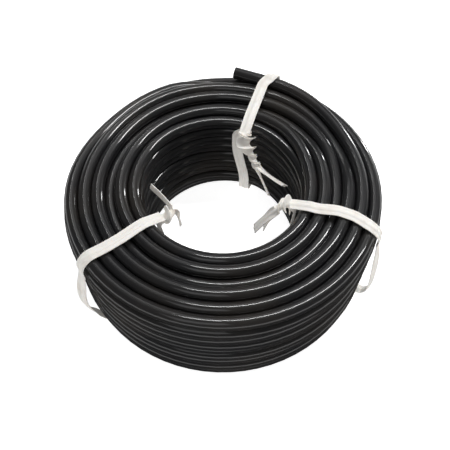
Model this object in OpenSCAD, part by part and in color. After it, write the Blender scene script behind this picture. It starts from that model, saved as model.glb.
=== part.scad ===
// Coil of round flexible cable, held by three flat twist ties.
// Z is the axis of the coil. The coil stands on the undersides of its ties at z = 0.
// The cable's cut end lies on top at the back (+Y), and the ties are at the left, right and back.

/* [Cable] */
// Diameter of the cable
cable_d = 7; // [6:0.5:9]
// Diameter of one insulated core
core_d = 2.4; // [1.8:0.1:2.5]
// Diameter of one copper conductor
conductor_d = 1.1; // [0.8:0.1:1.4]

/* [Coil] */
// Diameter over the coil
coil_d = 168; // [136:2:204]
// Diameter of the hole through the coil
hole_d = 84; // [70:2:102]
// Height of the winding
coil_h = 63; // [52:1:76]
// Radius of the winding's corners, to the middle of the cable
turn_r = 3.5; // [3:0.5:8]
// Height by which the cable's end rises off the turns below
end_lift = 3.5; // [2:0.5:5]

/* [Ties] */
// Width of the flat strap
tie_w = 6.3; // [5:0.1:8]
// Thickness of the strap at its edges
tie_edge = 0.56; // [0.4:0.02:0.8]
// Thickness of the strap over its wire
tie_bead = 1.2; // [1:0.05:1.6]
// Width of the square wire inside the strap
wire_w = 0.5; // [0.3:0.05:0.6]
// Gap between the ties and the turns
tie_gap = 0.35; // [0.3:0.05:0.6]

/* [Hidden] */
$fn = 64;

// Winding: the outer layer of turns is one tube that goes round its section
// from the top outer corner, down the outside, in along the bottom, up the hole and out over the top.
loop_rings = 24;
loop_step = 360 / loop_rings;
sides = 6;
cable_r = cable_d / 2;
hole_r = hole_d / 2;
coil_r = coil_d / 2;
floor_gap = tie_gap + tie_bead;
coil_top = floor_gap + coil_h;
flat_w = (coil_d - hole_d) / 2 - cable_d - 2 * turn_r;
flat_h = coil_h - cable_d - 2 * turn_r;
// The turns are spaced evenly where their inner edges face each other, because they crowd at the corners.
inner_arc = 90 * (turn_r - cable_r / 2) * PI / 180;
way_round = 2 * flat_w + 2 * flat_h + 4 * inner_arc;
// As many loops as fit side by side. Turns with six flat sides leave a gap where round ones touch.
loop_room = 0.98 * cable_d;
loops = floor(way_round / loop_room);
pitch = way_round / loops;

// Centres of the section's corners, in the order in which the winding reaches them
corner_out = coil_r - cable_r - turn_r;
corner_in = hole_r + cable_r + turn_r;
corner_low = floor_gap + cable_r + turn_r;
corner_high = coil_top - cable_r - turn_r;
corners = [
    [corner_out, corner_low],
    [corner_in, corner_low],
    [corner_in, corner_high],
    [corner_out, corner_high]
];

// Cable's end: it leaves the winding along a tangent, from the outer edge of the top
end_angle = 68;
end_place = way_round - inner_arc;
rise_angle = 60;
tube_straight = 9;
end_len = 14;
start_rings = 5;
start_straight = cable_d;
last_ring = loops * loop_rings - start_rings;

// Plain core of buried turns
core_gap = 0.35;
chord_dip = coil_r * (1 - cos(loop_step / 2));
core_corner = 0.5 + max(turn_r - cable_r, 0);
core_in = hole_r + cable_d + core_gap;
core_out = coil_r - cable_d - core_gap - chord_dip;
core_low = floor_gap + cable_d + core_gap;
core_high = coil_top - cable_d - core_gap;
stub_r = cable_d * 0.4;
stub_web = cable_d * 0.4;
stub_len = 6;

// Bores of the jacket for three cores
core_ring_r = core_d * 0.625;
core_colors = ["saddlebrown", "royalblue", "yellowgreen"];

// Ties
tie_half = tie_w / 2;
bead_half = 0.45;
wire_half = wire_w / 2;
arc_step = 22.5;
// A strap of any width is gathered to this width where it is twisted
gathered_w = 5.04;
twist_width = gathered_w / tie_w;
twist_apart = tie_bead / 2 + 0.15;
// The strap is flat and the hole is round, so it stands further off the wall of the hole
wall_gap = tie_gap + hole_r * (1 - cos(loop_step / 2)) + tie_half * tie_half / hole_d;
left_angle = -143.5;
right_angle = -23;
back_angle = 70.5;

// Ties' routes, each in its own plane: outwards, sideways, up.
// A twist and its tails are placed from the upper rim of the hole, a slack side from the coil's lower edge.
left_twist = [[-3.6, 0, -3], [-7.2, -0.3, -3.8], [-10.6, -1, -5.2]];
left_tails = [[-12, 4.2, -12.5], [-9.4, -18.5, -1]];
left_turns = 0.75;
left_slack = [[0.9, 52], [3, 44], [4.8, 36], [5.4, 28], [4.7, 20], [3, 13]];
right_twist = [[-3.6, 0, -3], [-7, -0.8, -4.2], [-10.4, -3.2, -7]];
right_tails = [[-19.2, -10.4, -20], [-15.8, -4, -24.5]];
right_turns = 1.17;
right_slack = [[0.9, 51], [2.6, 42], [4.1, 32], [5.2, 22], [5.9, 13], [5.6, 6], [3.2, 2.2]];
back_twist = [[-3.6, 0, -3], [-7, -0.8, -5], [-9.2, -4.2, -10.5], [-10.6, -7.4, -16], [-12, -10.5, -21]];
back_tails = [[-21, -29.5, -20], [-23.5, -21.5, -29]];
back_turns = 2.25;

// ---------- vectors ----------

function unit(v) = v / norm(v);
function mix(a, b, t) = a * (1 - t) + b * t;
function ease(t) = let (u = min(max(t, 0), 1)) u * u * (3 - 2 * u);
function in_plane(r, z, a) = [r * cos(a), r * sin(a), z];

// ---------- winding ----------

// Length of each straight side in the order of the corners
function side_len(k) = k % 2 == 0 ? flat_h : flat_w;

// Place and outward direction of a turn, at a distance s round the section: [radius, height, direction]
function lay(s, k = 0) =
    s < 0 ? lay(s + way_round, k)
    : s <= side_len(k) ? lay_side(s, k)
    : s < side_len(k) + inner_arc ? lay_corner((s - side_len(k)) / inner_arc, k)
    : lay(s - side_len(k) - inner_arc, k + 1);

function lay_side(s, k) =
    let (a = -90 * k, back = side_len(k) - s)
    [corners[k][0] + turn_r * cos(a) - back * sin(a), corners[k][1] + turn_r * sin(a) + back * cos(a), a];

function lay_corner(t, k) =
    let (a = -90 * (k + t))
    [corners[k][0] + turn_r * cos(a), corners[k][1] + turn_r * sin(a), a];

function angle_at(i) = end_angle - loop_step * i;
function turn_at(i) =
    let (p = lay(end_place - pitch * i / loop_rings))
    [p[0], p[1] + end_lift * ease(1 - i * loop_step / rise_angle), p[2]];

// One ring of the tube: a vertex points straight out of the winding and the flats face the next turns
function turn_ring(p, a, along = 0) =
    [for (j = [0:sides - 1])
        let (b = p[2] + 360 / sides * j)
        in_plane(p[0] + cable_r * cos(b), p[1] + cable_r * sin(b), a) + along * [-sin(a), cos(a), 0]];

start_turn = turn_at(last_ring);
start_angle = angle_at(last_ring);
tube_rings = concat(
    [turn_ring(start_turn, start_angle, -start_straight)],
    [for (i = [last_ring:-1:0]) turn_ring(turn_at(i), angle_at(i))],
    [turn_ring(turn_at(0), end_angle, tube_straight)]);

// Least gap between neighbouring turns, measured from each corner of a ring to the edges of the next
function to_edge(p, a, b) =
    let (t = min(max((p - a) * (b - a) / ((b - a) * (b - a)), 0), 1))
    norm(p - mix(a, b, t));
function rings_apart(m, n) =
    min([for (j = [0:sides - 1], k = [0:sides - 1])
        let (kk = (k + 1) % sides)
        min(to_edge(m[j], n[k], n[kk]), to_edge(n[j], m[k], m[kk]))]);
turn_gap = min([for (i = [0:last_ring - loop_rings])
    rings_apart(turn_ring(turn_at(i + loop_rings), 0), turn_ring(turn_at(i), 0))]);

// Least gap between the cable's straight runs and every turn that passes them, from middle to middle
function run_gap(from, along, ring) =
    let (r = norm([from[0], along]), here = ring - atan(along / from[0]) / loop_step)
    min([for (k = [1 - loops:loops - 1])
        let (i = here + k * loop_rings)
        if (k != 0 && i >= 0 && i <= last_ring)
            let (p = turn_at(i))
            norm([p[0] - r, p[1] - from[1]])]) - cable_d;
end_gap = min([for (t = [0:3]) run_gap(turn_at(0), tube_straight * t / 3, 0)]);
start_gap = min([for (t = [0:3]) run_gap(start_turn, -start_straight * t / 3, last_ring)]);
echo(turn_gap = turn_gap, end_gap = end_gap, start_gap = start_gap);

// ---------- swept bodies ----------

// Faces are triangles, and a flipped face looks into a bore
function flipped(t, flip) = flip ? [t[0], t[2], t[1]] : t;

// Walls of a body through rings of equal count.
// Past the middle, and on the lower half of a ring, the other diagonal splits each four-sided face,
// so that a twisted strap keeps its thickness and lies flat against its other half.
function wall_faces(n, count, first, inward) =
    [for (i = [0:n - 2], j = [0:count - 1])
        let (a = first + i * count + j, b = first + i * count + (j + 1) % count,
            c = a + count, d = b + count, other = (j < count / 2) != (i < n / 2))
        each [flipped(other ? [a, b, d] : [a, b, c], inward),
            flipped(other ? [a, d, c] : [b, d, c], inward)]];
function cap_faces(first, count, flip) =
    [for (j = [1:count - 2]) flipped([first, first + j, first + j + 1], flip)];

module swept(rings) {
    count = len(rings[0]);
    last = (len(rings) - 1) * count;
    points = [for (ring = rings, p = ring) p];
    faces = concat(
        wall_faces(len(rings), count, 0, false),
        cap_faces(0, count, true), cap_faces(last, count, false));
    polyhedron(points = points, faces = faces, convexity = 10);
}

// ---------- cable ----------

module at_end(along) {
    p = turn_at(0);
    rotate([0, 0, end_angle])
        translate([p[0], along, p[1]])
            rotate([-90, 0, 0])
                children();
}

module inner_turns() {
    color("dimgray") union() {
        rotate_extrude(start = 0, angle = 360, $fn = 120)
            round_box(core_in, core_low, core_out, core_high, core_corner);
        // The turn that comes up from the layer below and goes on as the first outer turn
        rotate([0, 0, start_angle])
            translate([0, -start_straight, 0])
                rotate([90, 0, 0])
                    linear_extrude(height = stub_len)
                        stub_outline();
    }
}

module round_box(in, low, out, high, r) {
    translate([in + r, low])
        square([out - in - 2 * r, high - low]);
    translate([in, low + r])
        square([out - in, high - low - 2 * r]);
    for (x = [in + r, out - r], y = [low + r, high - r])
        translate([x, y])
            circle(r = r);
}

module stub_outline() {
    translate([start_turn[0], start_turn[1]])
        rotate(start_turn[2]) {
            circle(r = stub_r);
            translate([-cable_d - stub_r, -stub_web / 2])
                square([cable_d + stub_r, stub_web]);
        }
}

module outer_turns() {
    color("black") swept(tube_rings);
}

module end_jacket() {
    color("black") difference() {
        at_end(tube_straight)
            cylinder(r = cable_r, h = end_len);
        for (k = [0:2])
            core_bore(k);
    }
}

module core_bore(k) {
    at_end(tube_straight - 1)
        rotate([0, 0, 120 * k])
            translate([core_ring_r, 0, 0])
                cylinder(d = core_d, h = end_len + 2);
}

module end_core(k) {
    color(core_colors[k]) difference() {
        at_end(tube_straight)
            rotate([0, 0, 120 * k])
                translate([core_ring_r, 0, 0])
                    cylinder(d = core_d, h = end_len);
        at_end(tube_straight - 1)
            rotate([0, 0, 120 * k])
                translate([core_ring_r, 0, 0])
                    cylinder(d = conductor_d, h = end_len + 2);
    }
}

module end_conductor(k) {
    color("chocolate")
        at_end(tube_straight)
            rotate([0, 0, 120 * k])
                translate([core_ring_r, 0, 0])
                    cylinder(d = conductor_d, h = end_len);
}

// ---------- ties ----------

// A route is a list of stations: [place, width direction, way along, width factor, thickness factor]
function smooth_at(pts, t) =
    let (last = len(pts) - 1, i = min(floor(t * last), last - 1), u = t * last - i,
        p0 = pts[max(i - 1, 0)], p1 = pts[i], p2 = pts[i + 1], p3 = pts[min(i + 2, last)])
    (2 * p1 + (p2 - p0) * u + (2 * p0 - 5 * p1 + 4 * p2 - p3) * u * u
        + (3 * p1 - p0 - 3 * p2 + p3) * u * u * u) / 2;

// The two halves of the strap lie face to face, at first flat, then turning about the twist's own axis
twist_lead = 0.12;
function twist_station(pts, t, turns, side) =
    let (a = unit(smooth_at(pts, min(t + 0.02, 1)) - smooth_at(pts, max(t - 0.02, 0))),
        w = unit([0, 1, 0] - a[1] * a), n = cross(w, a),
        b = 360 * turns * max(t - twist_lead, 0) / (1 - twist_lead),
        across = w * cos(b) + n * sin(b), off = n * cos(b) - w * sin(b))
    [smooth_at(pts, t) + side * twist_apart * off, across, -side * a,
        mix(1, twist_width, ease(t / twist_lead)), 1];

function twist_half(pts, turns, side, steps) =
    [for (i = [0:steps]) twist_station(pts, i / steps, turns, side)];

// A tail bends away from the end of the twist
tail_steps = 4;
tail_lead = 3.5;
function tail_half(pts, turns, side, tip) =
    let (s = twist_station(pts, 1, turns, side), a = -side * s[2], knee = s[0] + tail_lead * a)
    [for (i = [1:tail_steps])
        let (t = i / tail_steps, p = mix(mix(s[0], knee, t), mix(knee, tip, t), t),
            way = unit(mix(knee - s[0], tip - knee, t)))
        [p, s[1], -side * way, mix(twist_width, 1, t), 1]];

function arc_stations(c, r, from, to) =
    [for (a = [from + arc_step / 2 * sign(to - from):arc_step * sign(to - from):to])
        [c[0] + r / cos(arc_step / 2) * cos(a), 0, c[1] + r / cos(arc_step / 2) * sin(a)]];

over = cable_r + turn_r + tie_gap + tie_bead / 2;
over_in = cable_r + turn_r + wall_gap + tie_bead / 2;
rim_part = arc_stations(corners[2], over, 112.5, 90);
top_part = arc_stations(corners[3], over, 90, 0);
side_part = arc_stations(corners[0], over, 0, -90);
low_part = arc_stations(corners[1], over, -90, -112.5);
hole_part = arc_stations(corners[1], over_in, -112.5, -180);

// Over the lifted end the strap goes round the cable itself
function lifted_part() =
    let (p = turn_at(0), r = (cable_r + 2 * tie_gap + tie_bead / 2 + 0.1) / cos(arc_step))
    [for (a = [112.5, 67.5, 22.5]) [p[0] + 0.3 + r * cos(a), 0, p[1] + r * sin(a)]];

function slack_part(slack) =
    let (n = len(slack) - 1)
    [for (i = [0:2 * n]) let (p = smooth_at(slack, i / (2 * n))) [coil_r + p[0], 0, floor_gap + p[1]]];

// Up the wall of the hole, then in a tight bend over into the twist
wall_bend = 1.8;
function wall_part(start) =
    let (x = hole_r - wall_gap - tie_bead / 2 - wall_bend, z = start[2] - twist_apart - wall_bend)
    [for (a = [15, 45, 75]) [x + wall_bend / cos(15) * cos(a), 0, z + wall_bend / cos(15) * sin(a)]];

// Stations of a run in the tie's plane, mitred at each point so that the strap keeps its thickness
function flat_run(pts, before, after) =
    let (all = concat([before], pts, [after]))
    [for (i = [1:len(pts)])
        let (way = unit(all[i] - all[i - 1]) + unit(all[i + 1] - all[i]))
        [all[i], [0, 1, 0], unit(way), 1, 2 / norm(way)]];

function tie_route(twist, turns, tails, outer, steps) =
    let (rim = [hole_r, 0, coil_top], pts = [for (p = twist) p + rim],
        a = twist_half(pts, turns, 1, steps), b = twist_half(pts, turns, -1, steps),
        loop = concat(rim_part, outer, low_part, hole_part, wall_part(pts[0])))
    concat(reversed(tail_half(pts, turns, 1, tails[0] + rim)), reversed(a),
        flat_run(loop, a[0][0], b[0][0]), b, tail_half(pts, turns, -1, tails[1] + rim));

function reversed(v) = [for (i = [len(v) - 1:-1:0]) v[i]];

strap_profile = [[tie_half, -tie_edge / 2], [tie_half, tie_edge / 2], [bead_half, tie_bead / 2],
    [-bead_half, tie_bead / 2], [-tie_half, tie_edge / 2], [-tie_half, -tie_edge / 2],
    [-bead_half, -tie_bead / 2], [bead_half, -tie_bead / 2]];
wire_profile = [[wire_half, -wire_half], [wire_half, wire_half],
    [-wire_half, wire_half], [-wire_half, -wire_half]];

function ring_of(profile, s, factor) =
    let (w = unit(s[1] - (s[1] * s[2]) * s[2]), n = cross(s[2], w))
    [for (q = profile) s[0] - q[0] * factor * w + q[1] * s[4] * n];

// Triangles between the strap's outline of 8 points and its bore of 4, from each corner of the wire outwards
function end_faces(out, bore, flip) =
    let (tri = [for (k = [0:3]) each [
        [out + 2 * k, out + 2 * k + 1, bore + k],
        [out + 2 * k + 1, bore + (k + 1) % 4, bore + k],
        [out + 2 * k + 1, out + (2 * k + 2) % 8, bore + (k + 1) % 4]]])
    [for (t = tri) flipped(t, flip)];

module strap(route) {
    outside = [for (s = route, p = ring_of(strap_profile, s, s[3])) p];
    bore = [for (s = route, p = ring_of(wire_profile, s, 1)) p];
    n = len(route);
    faces = concat(
        wall_faces(n, 8, 0, false), wall_faces(n, 4, 8 * n, true),
        end_faces(0, 8 * n, true), end_faces(8 * (n - 1), 8 * n + 4 * (n - 1), false));
    color("ivory")
        polyhedron(points = concat(outside, bore), faces = faces, convexity = 10);
}

module wire(route) {
    color("silver") swept([for (s = route) ring_of(wire_profile, s, 1)]);
}

left_route = tie_route(left_twist, left_turns, left_tails,
    concat(top_part, slack_part(left_slack), side_part), 16);
right_route = tie_route(right_twist, right_turns, right_tails,
    concat(top_part, slack_part(right_slack), [side_part[3]]), 18);
back_route = tie_route(back_twist, back_turns, back_tails,
    concat(lifted_part(), [top_part[3]], side_part), 26);

inner_turns();
outer_turns();
end_jacket();
end_core(0);  // end_core_brown
end_core(1);  // end_core_blue
end_core(2);  // end_core_green_yellow
end_conductor(0);  // end_conductor_brown
end_conductor(1);  // end_conductor_blue
end_conductor(2);  // end_conductor_green_yellow
rotate([0, 0, left_angle]) strap(left_route);  // left_tie_strap
rotate([0, 0, left_angle]) wire(left_route);  // left_tie_wire
rotate([0, 0, right_angle]) strap(right_route);  // right_tie_strap
rotate([0, 0, right_angle]) wire(right_route);  // right_tie_wire
rotate([0, 0, back_angle]) strap(back_route);  // back_tie_strap
rotate([0, 0, back_angle]) wire(back_route);  // back_tie_wire
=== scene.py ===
import math

import bpy
import numpy as np
from mathutils import Matrix, Vector


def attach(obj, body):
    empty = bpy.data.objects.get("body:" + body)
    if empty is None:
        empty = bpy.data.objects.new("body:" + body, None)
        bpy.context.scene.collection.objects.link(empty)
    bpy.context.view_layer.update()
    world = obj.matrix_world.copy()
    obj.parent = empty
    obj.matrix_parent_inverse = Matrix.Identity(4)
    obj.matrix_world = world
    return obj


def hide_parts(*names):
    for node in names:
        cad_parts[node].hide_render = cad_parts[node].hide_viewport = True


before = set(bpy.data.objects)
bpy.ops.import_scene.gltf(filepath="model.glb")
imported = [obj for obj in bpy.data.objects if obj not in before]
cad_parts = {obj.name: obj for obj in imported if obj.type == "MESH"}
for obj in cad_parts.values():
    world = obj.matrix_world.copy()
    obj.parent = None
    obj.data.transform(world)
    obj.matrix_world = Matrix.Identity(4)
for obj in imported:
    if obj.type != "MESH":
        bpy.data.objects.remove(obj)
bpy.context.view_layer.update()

# Coil of round black cable, held by three flat twist ties. Sizes are worked out in millimetres,
# as the part's own source does it, and every mesh is made in metres.
MM = 0.001

# ---------- driving sizes, the same as the part's ----------

CABLE_D = 7.0
COIL_D = 168.0
HOLE_D = 84.0
COIL_H = 63.0
TURN_R = 3.5            # radius of the winding's corners, to the middle of the cable
END_LIFT = 3.5
TIE_W = 6.3
TIE_EDGE = 0.56
TIE_BEAD = 1.2
WIRE_W = 0.5
TIE_GAP = 0.35

CABLE_R = CABLE_D / 2
HOLE_R = HOLE_D / 2
COIL_R = COIL_D / 2
FLOOR_GAP = TIE_GAP + TIE_BEAD
COIL_TOP = FLOOR_GAP + COIL_H
CORNER_OUT = COIL_R - CABLE_R - TURN_R
CORNER_IN = HOLE_R + CABLE_R + TURN_R
CORNER_LOW = FLOOR_GAP + CABLE_R + TURN_R
CORNER_HIGH = COIL_TOP - CABLE_R - TURN_R
FLAT_W = CORNER_OUT - CORNER_IN
FLAT_H = CORNER_HIGH - CORNER_LOW
CORNERS = [(CORNER_OUT, CORNER_LOW), (CORNER_IN, CORNER_LOW),
           (CORNER_IN, CORNER_HIGH), (CORNER_OUT, CORNER_HIGH)]

# The cable's end
END_ANGLE = 68.0        # where the curved winding stops and the straight end begins
RISE_ANGLE = 60.0       # degrees of the winding in which the end lifts
TUBE_STRAIGHT = 9.0     # length of the winding's own straight part, up to the end's node
COVER = 1.5             # the winding's skin goes this far over that node
COVER_THICK = 0.03
COVER_EDGE = 0.05       # a second ring, this close to the skin's rim, keeps its shading even


# ---------- camera ----------

VIEW_ELEVATION = math.radians(55.66)
VIEW_DISTANCE = 0.3139                  # metres, from a point on the coil's axis
VIEW_HEIGHT = 0.0331                    # that point's height
VIEW_LENS, VIEW_SENSOR = 44.24, 36.0    # millimetres
VIEW_SHIFT = (0.0054, -0.0287)          # the coil isn't quite in the middle of the photograph
VIEW_NEAREST = 0.01


def add_camera():
    """The photograph's view: from the front (-Y) and above, on a square image."""
    data = bpy.data.cameras.new("camera")
    data.lens, data.sensor_width = VIEW_LENS, VIEW_SENSOR
    data.shift_x, data.shift_y = VIEW_SHIFT
    data.clip_start = VIEW_NEAREST
    camera = bpy.data.objects.new("camera", data)
    camera.location = (0, -VIEW_DISTANCE * math.cos(VIEW_ELEVATION),
                       VIEW_HEIGHT + VIEW_DISTANCE * math.sin(VIEW_ELEVATION))
    camera.rotation_euler = (math.pi / 2 - VIEW_ELEVATION, 0, 0)
    bpy.context.scene.collection.objects.link(camera)
    bpy.context.scene.camera = camera


add_camera()


# ---------- numbers and vectors ----------

TINY = 1e-6             # keeps a division from being one by zero


def ease(t):
    """A smooth step from 0 to 1."""
    u = np.clip(t, 0, 1)
    return u * u * (3 - 2 * u)


def stretch(at, start, rise, stop, fall):
    """1 inside a stretch and 0 outside it, with a smooth rise after its start and fall before its stop."""
    return ease((at - start) / rise) * ease((stop - at) / fall)


def unit(v):
    return v / np.linalg.norm(v)


def mix(a, b, t):
    return a * (1 - t) + b * t


# ---------- winding ----------

RINGS = 72              # rings of the tube in one turn
SHELL_TURNS = 26        # turns of the outer layer, from its start to the cable's end
CORE_COLUMNS = 4        # buried turns: columns and rows
CORE_ROWS = 6
CORE_TIGHT = 0.3        # their columns lie this much closer to the outer layer than side by side
CORE_ROOM = 2.5         # their rows lie this much further from it
CORE_RUN_ON = 60        # degrees that the buried start goes on past its last whole turn
CORNER_WAY = 4.3        # length that a corner of the section takes up in the layout
START_ANGLE = 143.0     # where the outer layer's first turn comes up from below
SINK_SPAN = 85          # degrees in which the cable goes from the outer layer to the buried turns
SHIFT_START, SHIFT_SPAN = 1.0, 80.0     # each turn moves on to its next place inside this stretch
REACH_SPAN = 80         # degrees on each side of the cut end in which turns come back out into the corners
TOP_DIPS = [1.0, 0.5, 0.1, 1.7, 0.9, 1.3]   # how deep each turn of the top lies, from the outer one inwards
DIP_SPAN = 40           # degrees in which the depth sets in, past the lifted end
DIP_RINGS = 31          # rings from one random depth to the next
WANDER = 0.8            # how far a buried turn wanders
WANDER_RINGS = 23
SEED = 7
SHOULDER = 8.0          # how much rounder the upper outer corner is behind on the left
BULGE = 2.4             # how much further out the outer turns lie there

# Directions in degrees, as start, rise, stop and fall
DIP_STRETCH = (150, 40, 345, 30)
SHOULDER_STRETCH = (72, 22, 190, 55)
BULGE_STRETCH = (74, 24, 156, 46)

SETTLE_STEPS = 260
PUSH = 0.35             # share of an overlap by which each of the two turns gives way in one step
EVEN = 0.2              # share of the way to the middle of its neighbours along the cable
PULL = 0.01             # share of the way back to the plan
HELD_END, HELD_SPAN = 50, 40    # degrees: the cable's end keeps to the plan, and lets go over this span
FAR_OFF, FAR_STEP = 1e4, 100    # where the rings are put that the last turn lacks


def lay(s):
    """Middle of a turn (radius, height) and its outward direction at the distance s round the section."""
    lengths = [FLAT_H, CORNER_WAY, FLAT_W, CORNER_WAY] * 2
    s = np.mod(s, sum(lengths))
    place = np.zeros(s.shape + (2,))
    way = np.zeros(s.shape)
    start = 0.0
    for k, length in enumerate(lengths):
        here = (s >= start) & (s <= start + length)
        t = (s - start) / length
        corner = CORNERS[k // 2]
        a = -np.pi / 2 * (k // 2 + (t if k % 2 else 0))
        a = np.broadcast_to(a, s.shape)
        back = 0 if k % 2 else length * (1 - t)
        r = corner[0] + TURN_R * np.cos(a) - back * np.sin(a)
        z = corner[1] + TURN_R * np.sin(a) + back * np.cos(a)
        place[here] = np.stack([r, z], -1)[here]
        way[here] = a[here]
        start += length
    return place, way


def core_places():
    """Places of the buried turns, from the last one wound back to the first."""
    radii = np.linspace(CORNER_OUT - TURN_R + CORE_TIGHT, CORNER_IN + TURN_R - CORE_TIGHT, CORE_COLUMNS)
    heights = np.linspace(CORNER_HIGH - CABLE_R - CORE_ROOM, CORNER_LOW + CABLE_R + CORE_ROOM, CORE_ROWS)
    places = []
    for k, r in enumerate(radii):
        column = [(r, z) for z in heights]
        places += column if k % 2 == 0 else column[::-1]
    return np.array(places)


def slow_noise(count, step, rng):
    """Smooth random values between -1 and 1, a new one every step samples."""
    knots = rng.uniform(-1, 1, count // step + 4)
    at = np.arange(count) / step
    i = at.astype(int)
    t = ease(at - i)
    return knots[i] * (1 - t) + knots[i + 1] * t


def direction(angle):
    """Direction from the coil's axis, in degrees, at an angle back along the winding from the cut end."""
    return np.mod(END_ANGLE - angle, 360)


def planned_turns():
    """Middle of the cable at each ring, from its cut end back to its buried start, before it settles."""
    rng = np.random.default_rng(SEED)
    shell_end = SHELL_TURNS * 360 - (START_ANGLE - END_ANGLE)
    total = (SHELL_TURNS + CORE_COLUMNS * CORE_ROWS) * 360 + CORE_RUN_ON
    angle = np.arange(0, total, 360 / RINGS)
    pitch = (2 * FLAT_H + 2 * FLAT_W + 4 * CORNER_WAY) / SHELL_TURNS
    way_round = pitch * SHELL_TURNS
    turn = np.floor(angle / 360)
    moved = turn + ease((angle - 360 * turn - SHIFT_START) / SHIFT_SPAN)
    # Away from the cut end, the turns lie out in the corners
    theta = direction(angle)
    before = END_ANGLE - 1
    signed = np.where(theta > before + 360 - REACH_SPAN, theta - 360, theta)
    past_end = ease((theta - END_ANGLE) / REACH_SPAN)
    reach = np.where(signed < before, ease((before - signed) / REACH_SPAN), past_end)
    place, way = lay(way_round - CORNER_WAY - pitch * moved + reach * CORNER_WAY / 2 * (angle > RISE_ANGLE))
    # Some turns lie deeper than others
    outward = np.stack([np.cos(way), np.sin(way)], -1)
    dips = 0.5 + 0.5 * slow_noise(len(angle), DIP_RINGS, rng)
    near = stretch(theta, *DIP_STRETCH)
    for k, dip in enumerate(TOP_DIPS):
        on_top = (np.round(moved) == (k if k else SHELL_TURNS)) & (theta > END_ANGLE)
        dips = np.where(on_top, mix(dips, dip, near), dips)
    place -= outward * (dips * ease((angle - RISE_ANGLE) / DIP_SPAN))[:, None]
    # Buried turns
    core = core_places()
    j = np.clip(moved - SHELL_TURNS - 1, 0, len(core) - 1)
    i = np.minimum(j.astype(int), len(core) - 2)
    buried = mix(core[i], core[i + 1], (j - i)[:, None])
    buried += WANDER * np.stack([slow_noise(len(angle), WANDER_RINGS, rng) for _ in range(2)], -1)
    inside = ease((angle - shell_end) / SINK_SPAN)[:, None]
    return angle, mix(place, buried, inside)


def bulged(place, theta):
    """Behind on the left, the outer turns lie further out."""
    outer = (place[:, 0] - CORNER_IN) / FLAT_W
    return place + np.stack([BULGE * stretch(theta, *BULGE_STRETCH) * outer, 0 * outer], -1)


def kept_in(place, shoulder):
    """The same places, none of them outside the winding's outline."""
    low = np.array([CORNER_IN, CORNER_LOW])
    high = np.stack([CORNER_OUT - shoulder, CORNER_HIGH - shoulder], -1)
    nearest = np.clip(place, low, np.maximum(high, low))
    sloped = (place > high).all(-1)
    straight = np.clip(place, low, [CORNER_OUT, CORNER_HIGH])
    nearest = np.where(sloped[:, None], nearest, straight)
    reach = np.where(sloped, TURN_R + shoulder, TURN_R)
    out = place - nearest
    far = np.linalg.norm(out, axis=-1)
    return nearest + out * np.minimum(1, reach / np.maximum(far, TINY))[:, None]


def settled_turns():
    """Turns that touch push each other away until they lie side by side, inside the winding's outline."""
    angle, plan = planned_turns()
    theta = direction(angle)
    lift = np.stack([0 * angle, END_LIFT * ease(1 - angle / RISE_ANGLE)], -1)
    shoulder = SHOULDER * stretch(theta, *SHOULDER_STRETCH)
    held = ease((HELD_END - angle) / HELD_SPAN)[:, None]
    turns = math.ceil(len(angle) / RINGS)
    lacking = FAR_OFF + FAR_STEP * np.arange(len(angle), turns * RINGS)[:, None] + np.zeros(2)
    pairs = np.triu(np.ones((turns, turns), bool), 1)[:, :, None]
    place = plan.copy()
    for _ in range(SETTLE_STEPS):
        grid = np.concatenate([place + lift, lacking]).reshape(-1, RINGS, 2)
        apart = grid[:, None] - grid[None]
        far = np.linalg.norm(apart, axis=-1)
        lack = np.where((far < CABLE_D) & pairs, CABLE_D - far, 0)
        push = apart * (PUSH * lack / np.maximum(far, TINY))[..., None]
        moves = (push.sum(1) - push.sum(0)).reshape(-1, 2)[:len(angle)]
        new = place + moves * (1 - held)
        new[1:-1] += EVEN * ((new[:-2] + new[2:]) / 2 - new[1:-1]) * (1 - held[1:-1])
        new += PULL * (plan - new)
        place = mix(kept_in(new, shoulder), plan, held)
    return angle, bulged(place, theta) + lift


def cable_line():
    """The cable's centreline in metres, from its cut side to its buried start."""
    angle, place = settled_turns()
    theta = np.radians(END_ANGLE - angle)
    line = np.stack([place[:, 0] * np.cos(theta), place[:, 0] * np.sin(theta), place[:, 1]], -1)
    end = math.radians(END_ANGLE)
    along = np.array([-math.sin(end), math.cos(end), 0])
    rim = TUBE_STRAIGHT + COVER
    ways = (rim, rim - COVER_EDGE, TUBE_STRAIGHT, TUBE_STRAIGHT * 2 / 3, TUBE_STRAIGHT / 3)
    return np.concatenate([[line[0] + along * way for way in ways], line]) * MM


# ---------- meshes ----------

def new_object(name, verts, faces, uvs):
    """Object of a mesh whose four-sided faces are smooth and whose two caps are flat."""
    mesh = bpy.data.meshes.new(name)
    mesh.from_pydata([tuple(v) for v in verts], [], [tuple(f) for f in faces])
    layer = mesh.uv_layers.new(name="along")
    layer.data.foreach_set("uv", uvs.ravel())
    mesh.validate()
    for face in mesh.polygons:
        face.use_smooth = len(face.vertices) == 4
    obj = bpy.data.objects.new(name, mesh)
    bpy.context.scene.collection.objects.link(obj)
    return obj


def skin(rings, lengths, widths):
    """Vertices, faces and UVs of a closed body through rings of equal count: u runs along it, v round it."""
    n, count = rings.shape[:2]
    verts = rings.reshape(-1, 3)
    i, j = np.meshgrid(np.arange(n - 1), np.arange(count), indexing="ij")
    k = (j + 1) % count
    quads = np.stack([i * count + j, i * count + k, (i + 1) * count + k, (i + 1) * count + j], -1)
    u0, u1 = lengths[i], lengths[i + 1]
    v0, v1 = widths[j], widths[j + 1]
    uvs = np.stack([u0, v0, u0, v1, u1, v1, u1, v0], -1).reshape(-1, 2)
    caps = [list(range(count))[::-1], [(n - 1) * count + m for m in range(count)]]
    cap_uvs = np.zeros((2 * count, 2))
    return verts, [list(q) for q in quads.reshape(-1, 4)] + caps, np.concatenate([uvs, cap_uvs])


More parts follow.
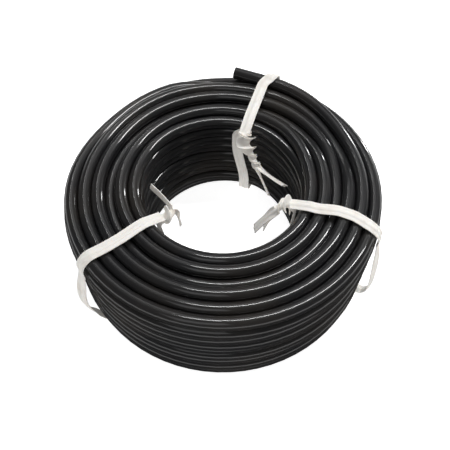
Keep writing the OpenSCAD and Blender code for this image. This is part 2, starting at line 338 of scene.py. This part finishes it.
def run_lengths(points):
    """Length along a line up to each of its points."""
    return np.concatenate([[0], np.cumsum(np.linalg.norm(np.diff(points, axis=0), axis=1))])


def round_tube(name, line, radius, sides):
    """Tube along a line that goes round the Z axis, with a radius for each of its points."""
    ways = np.gradient(line, axis=0)
    ways /= np.linalg.norm(ways, axis=1, keepdims=True)
    outward = line * [1, 1, 0]
    outward -= (outward * ways).sum(1, keepdims=True) * ways
    outward /= np.linalg.norm(outward, axis=1, keepdims=True)
    up = np.cross(ways, outward)
    turn = np.arange(sides) / sides * 2 * np.pi
    rings = (line[:, None] + radius[:, None, None] * (np.cos(turn)[None, :, None] * outward[:, None]
                                                      + np.sin(turn)[None, :, None] * up[:, None]))
    widths = np.arange(sides + 1) / sides * 2 * np.pi * radius[-1]
    return new_object(name, *skin(rings, run_lengths(line), widths))


CABLE_SIDES = 16
COVERING_POINTS = 3     # the line's first points, over the straight end and at its seam
line = cable_line()
radii = np.full(len(line), CABLE_R * MM)
radii[:COVERING_POINTS] += COVER_THICK * MM
cable = round_tube("cable", line, radii, CABLE_SIDES)
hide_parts("inner_turns", "outer_turns")
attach(cable, "cable_coil")


# ---------- ties ----------

TWIST_APART = TIE_BEAD / 2 + 0.15       # from the twist's axis to the middle of each half
TWIST_WIDTH = 0.8       # width of a strap in its twist, as a share
TWIST_LEAD = 0.12       # share of the twist that is still flat
KNOB_END = 0.7          # share of the twist up to which its first bend is bunched up
AHEAD = 0.02            # how far ahead and back a curve's direction is taken
TAIL_LEAD = 3.5         # how far ahead of the twist's end the tails' bend begins
TAIL_STEPS = 4
TAIL_ROLL_PACE = 1.5    # a tail has rolled on to its edge before it ends
WALL_BEND = 1.8         # radius of the bend from the wall of the hole into the twist
ARC_STEP = 22.5         # the part's own step, which its runs are laid out by
FINE = 6                # fine stations for each of the part's own
RUN_STEP = 1.5          # most between two stations of the loop round the coil
CHORD = 1 - math.cos(math.radians(7.5))     # share of the radius by which the part's flat sides come inwards
WALL_GAP = TIE_GAP + HOLE_R * CHORD + (TIE_W / 2) ** 2 / HOLE_D
OVER = CABLE_R + TURN_R + TIE_GAP + TIE_BEAD / 2
OVER_IN = CABLE_R + TURN_R + WALL_GAP + TIE_BEAD / 2
LEAN_SPAN = 3           # a strap leans fully where it is this far clear of the coil
TOP_BAND = COIL_TOP - 6                 # above this height a strap lies over the top
WALL_SWAY = (12, 34, TOP_BAND, 5)       # heights, as start, rise, stop and fall
TOP_SWAY = (CORNER_IN, 14, CORNER_OUT + 5, 14)      # radii
EDGE_SWAY = (70, 10), (8, 20)           # radii and heights, as start and rise
MITRE_MOST = 1.3        # a bend thickens the strap by this factor at most

# For each tie: its angle round the coil, the turns and steps of its twist, how much the twist bunches up, how
# far the tails roll, how the strap leans and sways (degrees and millimetres), and points on its middle line.
# Those of the twist and the tails are measured from the hole's rim, those of the slack from the coil's foot.
TIES = {
    "left": {
        "angle": -143.5, "turns": 0.75, "steps": 16, "knob": 1.15, "rolls": (50, -25), "lean": -17,
        "wall_sway": 1.5, "top_sway": 0.8, "outer_sway": 0,
        "twist": [(-3.6, 0, -3), (-7.2, -0.3, -3.8), (-10.6, -1, -5.2)],
        "tails": [(-12, 4.2, -12.5), (-9.4, -18.5, -1)],
        "slack": [(0.9, 52), (3, 44), (4.8, 36), (5.4, 28), (4.7, 20), (3, 13)],
    },
    "right": {
        "angle": -23.0, "turns": 1.17, "steps": 18, "knob": 1.15, "rolls": (50, 50), "lean": 18,
        "wall_sway": -1.5, "top_sway": 3, "outer_sway": 0,
        "twist": [(-3.6, 0, -3), (-7, -0.8, -4.2), (-10.4, -3.2, -7)],
        "tails": [(-19.2, -10.4, -20), (-15.8, -4, -24.5)],
        "slack": [(0.9, 51), (2.6, 42), (4.1, 32), (5.2, 22), (5.9, 13), (5.6, 6), (3.2, 2.2)],
    },
    "back": {
        "angle": 70.5, "turns": 2.25, "steps": 26, "knob": 1.1, "rolls": (-28, -28), "lean": 0,
        "wall_sway": 5, "top_sway": 0, "outer_sway": -4,
        "twist": [(-3.6, 0, -3), (-7, -0.8, -5), (-9.2, -4.2, -10.5), (-10.6, -7.4, -16), (-12, -10.5, -21)],
        "tails": [(-21, -29.5, -20), (-23.5, -21.5, -29)],
        "slack": None,
    },
}


def smooth_at(points, t):
    """Place on a smooth curve through the points, for t from 0 to 1."""
    last = len(points) - 1
    i = min(int(math.floor(t * last)), last - 1)
    u = t * last - i
    p0, p1, p2, p3 = (points[max(i - 1, 0)], points[i], points[i + 1], points[min(i + 2, last)])
    return (2 * p1 + (p2 - p0) * u + (2 * p0 - 5 * p1 + 4 * p2 - p3) * u ** 2
            + (3 * p1 - p0 - 3 * p2 + p3) * u ** 3) / 2


# A station of a strap is (place, direction across, way along, width factor, thickness factor)

def twist_station(points, t, tie, side):
    """The two halves lie face to face, at first flat, then turning about the twist's own axis."""
    a = unit(smooth_at(points, min(t + AHEAD, 1)) - smooth_at(points, max(t - AHEAD, 0)))
    w = unit(np.array([0, 1, 0]) - a[1] * a)
    n = np.cross(w, a)
    b = 2 * np.pi * tie["turns"] * max(t - TWIST_LEAD, 0) / (1 - TWIST_LEAD)
    across = w * math.cos(b) + n * math.sin(b)
    off = n * math.cos(b) - w * math.sin(b)
    bunched = tie["knob"] * math.sin(math.pi * min(t / KNOB_END, 1)) ** 2
    width = mix(1, TWIST_WIDTH, float(ease(t / TWIST_LEAD))) + bunched
    return (smooth_at(points, t) + side * TWIST_APART * off, across, -side * a, width, 1)


def twist_half(points, tie, side):
    steps = tie["steps"] * FINE
    return [twist_station(points, i / steps, tie, side) for i in range(steps + 1)]


def tail_half(points, tie, side, tip):
    """A tail bends away from the end of the twist and rolls on to its edge."""
    s = twist_station(points, 1, tie, side)
    roll = math.radians(tie["rolls"][0 if side > 0 else 1])
    a = -side * s[2]
    knee = s[0] + TAIL_LEAD * a
    steps = TAIL_STEPS * FINE
    stations = []
    for i in range(1, steps + 1):
        t = i / steps
        p = mix(mix(s[0], knee, t), mix(knee, tip, t), t)
        way = unit(mix(knee - s[0], tip - knee, t))
        b = roll * float(ease(TAIL_ROLL_PACE * t))
        across = s[1] * math.cos(b) + np.cross(way, s[1]) * math.sin(b)
        stations.append((p, across, -side * way, mix(TWIST_WIDTH, 1, t), 1))
    return stations


def arc(c, r, start, stop):
    """Points of an arc in the tie's plane, from one of its ends to the other."""
    steps = max(2, round(abs(stop - start) / ARC_STEP * FINE))
    turn = np.radians(np.linspace(start, stop, steps + 1))
    return [np.array([c[0] + r * math.cos(a), 0, c[1] + r * math.sin(a)]) for a in turn]


def lifted_part():
    """Over the lifted end the strap goes round the cable itself."""
    r = CABLE_R + 2 * TIE_GAP + TIE_BEAD / 2 + 0.1
    return arc((CORNER_OUT + 0.3, COIL_TOP - CABLE_R + END_LIFT), r, 120, 10)


def slack_part(slack):
    """Down the outside, where the strap hangs clear of the coil."""
    points = [np.array([COIL_R + x, 0, FLOOR_GAP + z]) for x, z in slack]
    steps = 2 * FINE * (len(points) - 1)
    return [smooth_at(points, i / steps) for i in range(steps + 1)]


def wall_part(start):
    """Up the wall of the hole, then in a tight bend over into the twist."""
    x = HOLE_R - WALL_GAP - TIE_BEAD / 2 - WALL_BEND
    z = start[2] - TWIST_APART - WALL_BEND
    return arc((x, z), WALL_BEND, 0, 90)[:-1]


def even_run(points, step):
    """The same run with extra points where two of them lie further than a step apart."""
    run = [points[0]]
    for a, b in zip(points, points[1:]):
        parts = max(1, round(float(np.linalg.norm(b - a)) / step))
        run += [mix(a, b, k / parts) for k in range(1, parts + 1)]
    return run


def flat_run(points, before, after, lean):
    """Stations of a run in the tie's plane. It leans by up to this angle where it hangs clear of the coil."""
    run = [before] + points + [after]
    stations = []
    for a, b, c in zip(run, run[1:], run[2:]):
        way = unit(b - a) + unit(c - b)
        clear = math.hypot(max(b[0] - CORNER_OUT, 0), min(b[2] - CORNER_LOW, 0)) - OVER
        hangs = 0 < b[2] < CORNER_HIGH and b[0] > CORNER_OUT
        turn = math.radians(lean) * float(ease(clear / LEAN_SPAN)) if hangs else 0
        across = np.array([0, math.cos(turn), 0]) + math.sin(turn) * np.cross(unit(way), [0, 1, 0])
        stations.append((b, across, unit(way), 1, 2 / np.linalg.norm(way)))
    return stations


def swayed(point, tie):
    """A strap wanders sideways on the wall of the hole, over the top and over the coil's outer edge."""
    x, _, z = point
    wall = tie["wall_sway"] * stretch(z, *WALL_SWAY) if x < CORNER_IN else 0
    over = tie["top_sway"] * stretch(x, *TOP_SWAY) if z > TOP_BAND else 0
    outer = tie["outer_sway"]
    for at, (start, rise) in zip((x, z), EDGE_SWAY):
        outer = outer * ease((at - start) / rise)
    inward = ((abs(wall) + TIE_W / 2) ** 2 - (TIE_W / 2) ** 2) / HOLE_D
    return np.array([x - inward, wall + outer + over, z])


def tie_route(tie):
    """Stations of a whole strap: tail, half of the twist, round the coil, other half and other tail."""
    rim = np.array([HOLE_R, 0, COIL_TOP])
    points = [np.array(p) + rim for p in tie["twist"]]
    a, b = (twist_half(points, tie, side) for side in (1, -1))
    if tie["slack"] is None:
        outer = lifted_part() + arc(CORNERS[3], OVER, 15, 0) + arc(CORNERS[0], OVER, 0, -90)
    else:
        outer = arc(CORNERS[3], OVER, 90, 0) + slack_part(tie["slack"]) + arc(CORNERS[0], OVER, -40, -90)
    loop = (arc(CORNERS[2], OVER, 105, 90) + outer + arc(CORNERS[1], OVER, -90, -112.5)
            + arc(CORNERS[1], OVER_IN, -125, -180) + wall_part(points[0]))
    loop = [swayed(p, tie) for p in even_run(loop, RUN_STEP)]
    tails = [np.array(p) + rim for p in tie["tails"]]
    return (tail_half(points, tie, 1, tails[0])[::-1] + a[::-1]
            + flat_run(loop, a[0][0], b[0][0], tie["lean"]) + b
            + tail_half(points, tie, -1, tails[1]))


def strap_profile():
    """Outline of the strap's section: thin wings with raised lips, and a round bead over the wire."""
    half = TIE_W / 2
    upper = [(half, 0.10), (half - 0.05, 0.21), (half - 0.2, TIE_EDGE / 2), (half - 0.5, 0.24),
             (half - 0.8, 0.19), (1.45, 0.19), (1.15, 0.24), (0.92, 0.36), (0.7, 0.48), (0.42, 0.57),
             (0.15, TIE_BEAD / 2)]
    right = [(x, -y) for x, y in upper[::-1]] + upper
    left = [(-x, -y) for x, y in right]
    return right + left


WIRE_PROFILE = [(WIRE_W / 2 * math.cos(math.radians(a)), WIRE_W / 2 * math.sin(math.radians(a)))
                for a in range(0, 360, 45)]


def swept(name, profile, stations, angle, narrow=True):
    """Body along the stations, turned about Z to the tie's angle. A wire doesn't narrow with its strap."""
    rings = []
    for place, across, way, width, thick in stations:
        w = unit(across - (across @ way) * way)
        n = np.cross(way, w)
        f = width if narrow else 1
        rings.append([place - x * f * w + y * min(thick, MITRE_MOST) * n for x, y in profile])
    c, s = math.cos(math.radians(angle)), math.sin(math.radians(angle))
    rings = np.array(rings) @ np.array([[c, s, 0], [-s, c, 0], [0, 0, 1]])
    widths = run_lengths(np.array(profile + profile[:1]))
    return new_object(name, *skin(rings * MM, run_lengths(rings.mean(1)) * MM, widths * MM))


def add_tie(side, tie):
    stations = tie_route(tie)
    strap = swept(f"{side}_strap", strap_profile(), stations, tie["angle"])
    wire = swept(f"{side}_wire", WIRE_PROFILE, stations, tie["angle"], narrow=False)
    for piece, node, slot in ((strap, "strap", "strap"), (wire, "wire", "wire")):
        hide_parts(f"{side}_tie_{node}")
        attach(piece, f"{side}_tie")
    return strap, wire


straps, wires = zip(*(add_tie(side, tie) for side, tie in TIES.items()))


# ---------- materials ----------

def new_material(name, color, roughness):
    material = bpy.data.materials.new(name)
    material.use_nodes = True
    shader = material.node_tree.nodes["Principled BSDF"]
    shader.inputs["Base Color"].default_value = (*color, 1)
    shader.inputs["Roughness"].default_value = roughness
    return material, material.node_tree, shader


def noise(tree, scale, detail=4):
    node = tree.nodes.new("ShaderNodeTexNoise")
    node.inputs["Scale"].default_value = scale
    node.inputs["Detail"].default_value = detail
    tree.links.new(tree.nodes.new("ShaderNodeTexCoord").outputs["Object"], node.inputs["Vector"])
    return node.outputs["Fac"]


def spread_to(tree, value, low, high, start=0.3, stop=0.7):
    """The value's range from start to stop, spread to the range from low to high."""
    node = tree.nodes.new("ShaderNodeMapRange")
    for key, number in (("From Min", start), ("From Max", stop), ("To Min", low), ("To Max", high)):
        node.inputs[key].default_value = number
    tree.links.new(value, node.inputs["Value"])
    return node.outputs["Result"]


def mixed_color(tree, factor, a, b):
    node = tree.nodes.new("ShaderNodeMix")
    node.data_type = "RGBA"
    node.inputs["A"].default_value = (*a, 1)
    node.inputs["B"].default_value = (*b, 1)
    tree.links.new(factor, node.inputs["Factor"])
    return node.outputs["Result"]


def bump(tree, shader, height, strength, distance):
    node = tree.nodes.new("ShaderNodeBump")
    node.inputs["Strength"].default_value = strength
    node.inputs["Distance"].default_value = distance
    tree.links.new(height, node.inputs["Height"])
    tree.links.new(node.outputs["Normal"], shader.inputs["Normal"])


def jacket_material():
    """Black PVC with a soft sheen, a little brown where it is worn."""
    material, tree, shader = new_material("jacket_pvc", (0.012, 0.012, 0.013), 0.34)
    worn = spread_to(tree, noise(tree, 22, 5), 0, 1, start=0.45, stop=0.75)
    color = mixed_color(tree, worn, (0.010, 0.010, 0.011), (0.026, 0.022, 0.018))
    tree.links.new(color, shader.inputs["Base Color"])
    tree.links.new(spread_to(tree, noise(tree, 60), 0.36, 0.46), shader.inputs["Roughness"])
    shader.inputs["Specular IOR Level"].default_value = 0.2
    shader.inputs["Coat Weight"].default_value = 0.85
    shader.inputs["Coat Roughness"].default_value = 0.08
    bump(tree, shader, noise(tree, 350, 2), strength=0.12, distance=0.00008)
    return material


def strap_material():
    """Ivory plastic, a little grubby, with a faint painted glow that lightens the strap's shaded parts."""
    material, tree, shader = new_material("strap_plastic_painted_glow", (0.85, 0.82, 0.74), 0.42)
    grubby = spread_to(tree, noise(tree, 120), 0, 1, start=0.5, stop=0.8)
    color = mixed_color(tree, grubby, (0.86, 0.84, 0.80), (0.72, 0.66, 0.60))
    tree.links.new(color, shader.inputs["Base Color"])
    shader.inputs["Subsurface Weight"].default_value = 0.15
    shader.inputs["Subsurface Radius"].default_value = (0.001, 0.0008, 0.0006)
    # Painted light: a faint glow in the strap's own colour brightens its tails, knots and other parts that
    # lie in shade
    shader.inputs["Emission Color"].default_value = (1, 0.96, 0.9, 1)
    shader.inputs["Emission Strength"].default_value = 0.12
    bump(tree, shader, noise(tree, 700, 3), strength=0.3, distance=0.0001)
    return material


def wire_material():
    material, tree, shader = new_material("steel_wire", (0.42, 0.42, 0.43), 0.35)
    shader.inputs["Metallic"].default_value = 1.0
    tree.links.new(spread_to(tree, noise(tree, 500), 0.25, 0.5), shader.inputs["Roughness"])
    return material


def core_material(name, color, stripe):
    """Coloured insulation, with sharp patches of a second colour or soft ones of its own darker shade."""
    material, tree, shader = new_material(name, color, 0.3)
    if stripe:
        factor = spread_to(tree, noise(tree, 260, 1), 0, 1, start=0.47, stop=0.53)
    else:
        factor = spread_to(tree, noise(tree, 120, 1), 0, 1)
    other = stripe or tuple(c * 0.75 for c in color)
    tree.links.new(mixed_color(tree, factor, color, other), shader.inputs["Base Color"])
    return material


def copper_material():
    material, tree, shader = new_material("copper", (0.72, 0.38, 0.22), 0.3)
    shader.inputs["Metallic"].default_value = 1.0
    tree.links.new(spread_to(tree, noise(tree, 1500), 0.2, 0.5), shader.inputs["Roughness"])
    bump(tree, shader, noise(tree, 2500, 2), strength=0.6, distance=0.0001)
    return material


def dress(obj, material):
    obj.data.materials.clear()
    obj.data.materials.append(material)


jacket = jacket_material()
dress(cable, jacket)
dress(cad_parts["end_jacket"], jacket)
strap_look, wire_look, copper_look = strap_material(), wire_material(), copper_material()
for piece in straps:
    dress(piece, strap_look)
for piece in wires:
    dress(piece, wire_look)
CORE_COLORS = {
    "brown": ((0.16, 0.06, 0.025), None),
    "blue": ((0.02, 0.10, 0.42), None),
    "green_yellow": ((0.05, 0.30, 0.06), (0.75, 0.62, 0.04)),
}
for core, (color, stripe) in CORE_COLORS.items():
    dress(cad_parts[f"end_core_{core}"], core_material(f"core_{core}", color, stripe))
    dress(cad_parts[f"end_conductor_{core}"], copper_look)


# ---------- floor and lights ----------

FLOOR_HALF = 3.0


def add_floor():
    mesh = bpy.data.meshes.new("floor")
    corners = [(x * FLOOR_HALF, y * FLOOR_HALF, 0) for x, y in ((-1, -1), (1, -1), (1, 1), (-1, 1))]
    mesh.from_pydata(corners, [], [(0, 1, 2, 3)])
    floor = bpy.data.objects.new("floor", mesh)
    bpy.context.scene.collection.objects.link(floor)
    material, tree, shader = new_material("floor_white", (0.9, 0.9, 0.9), 0.7)
    shader.inputs["Emission Color"].default_value = (1, 1, 1, 1)
    shader.inputs["Emission Strength"].default_value = 0.9
    color = mixed_color(tree, noise(tree, 3), (0.9, 0.9, 0.9), (0.88, 0.88, 0.88))
    tree.links.new(color, shader.inputs["Base Color"])
    dress(floor, material)
    floor.visible_glossy = False


# Rectangular lights: place, size along X and across, and power. Each faces the coil's middle.
LIGHTS = {
    "key": ((0.27, 0.24, 0.92), (0.8, 0.05), 6.5),
    "soft": ((-0.05, 0.62, 0.80), (0.5, 0.3), 0.4),
    "left": ((-0.29, 0.60, 0.83), (0.01, 0.45), 0.5),
    "fill": ((-0.12, -0.42, 0.55), (0.3, 0.3), 0.3),
    "rim": ((0.75, 0.85, 0.22), (0.3, 0.08), 2),
}
LIGHT_TARGET = Vector((0, 0, 0.03))


def add_light(name, place, size, power):
    data = bpy.data.lights.new(name, "AREA")
    data.shape = "RECTANGLE"
    data.size, data.size_y = size
    data.energy = power
    back = (Vector(place) - LIGHT_TARGET).normalized()
    right = Vector((0, 1, 0)).cross(back).normalized()
    light = bpy.data.objects.new(name, data)
    light.matrix_world = Matrix((right, back.cross(right), back)).transposed().to_4x4()
    light.location = place
    bpy.context.scene.collection.objects.link(light)


# Brightness of the studio from straight down (0) over level (0.5) to straight up (1)
GLOW = [(0.15, 0.02), (0.37, 0.06), (0.43, 0.95), (0.49, 0.9), (0.56, 0.06), (0.75, 0.05)]
GLOW_STRENGTH = 2.2


def add_world():
    world = bpy.data.worlds.new("studio")
    world.use_nodes = True
    tree = world.node_tree
    ways = tree.nodes.new("ShaderNodeTexCoord").outputs["Generated"]
    split = tree.nodes.new("ShaderNodeSeparateXYZ")
    tree.links.new(ways, split.inputs["Vector"])
    ramp = tree.nodes.new("ShaderNodeValToRGB")
    while len(ramp.color_ramp.elements) < len(GLOW):
        ramp.color_ramp.elements.new(GLOW[-1][0])
    for element, (place, glow) in zip(ramp.color_ramp.elements, GLOW):
        element.position = place
        element.color = (glow, glow, glow, 1)
    tree.links.new(spread_to(tree, split.outputs["Z"], 0, 1, start=-1, stop=1), ramp.inputs["Fac"])
    tree.links.new(ramp.outputs["Color"], tree.nodes["Background"].inputs["Color"])
    tree.nodes["Background"].inputs["Strength"].default_value = GLOW_STRENGTH
    bpy.context.scene.world = world


add_floor()
for light, facts in LIGHTS.items():
    add_light(light, *facts)
add_world()
bpy.context.scene.view_settings.view_transform = "Standard"
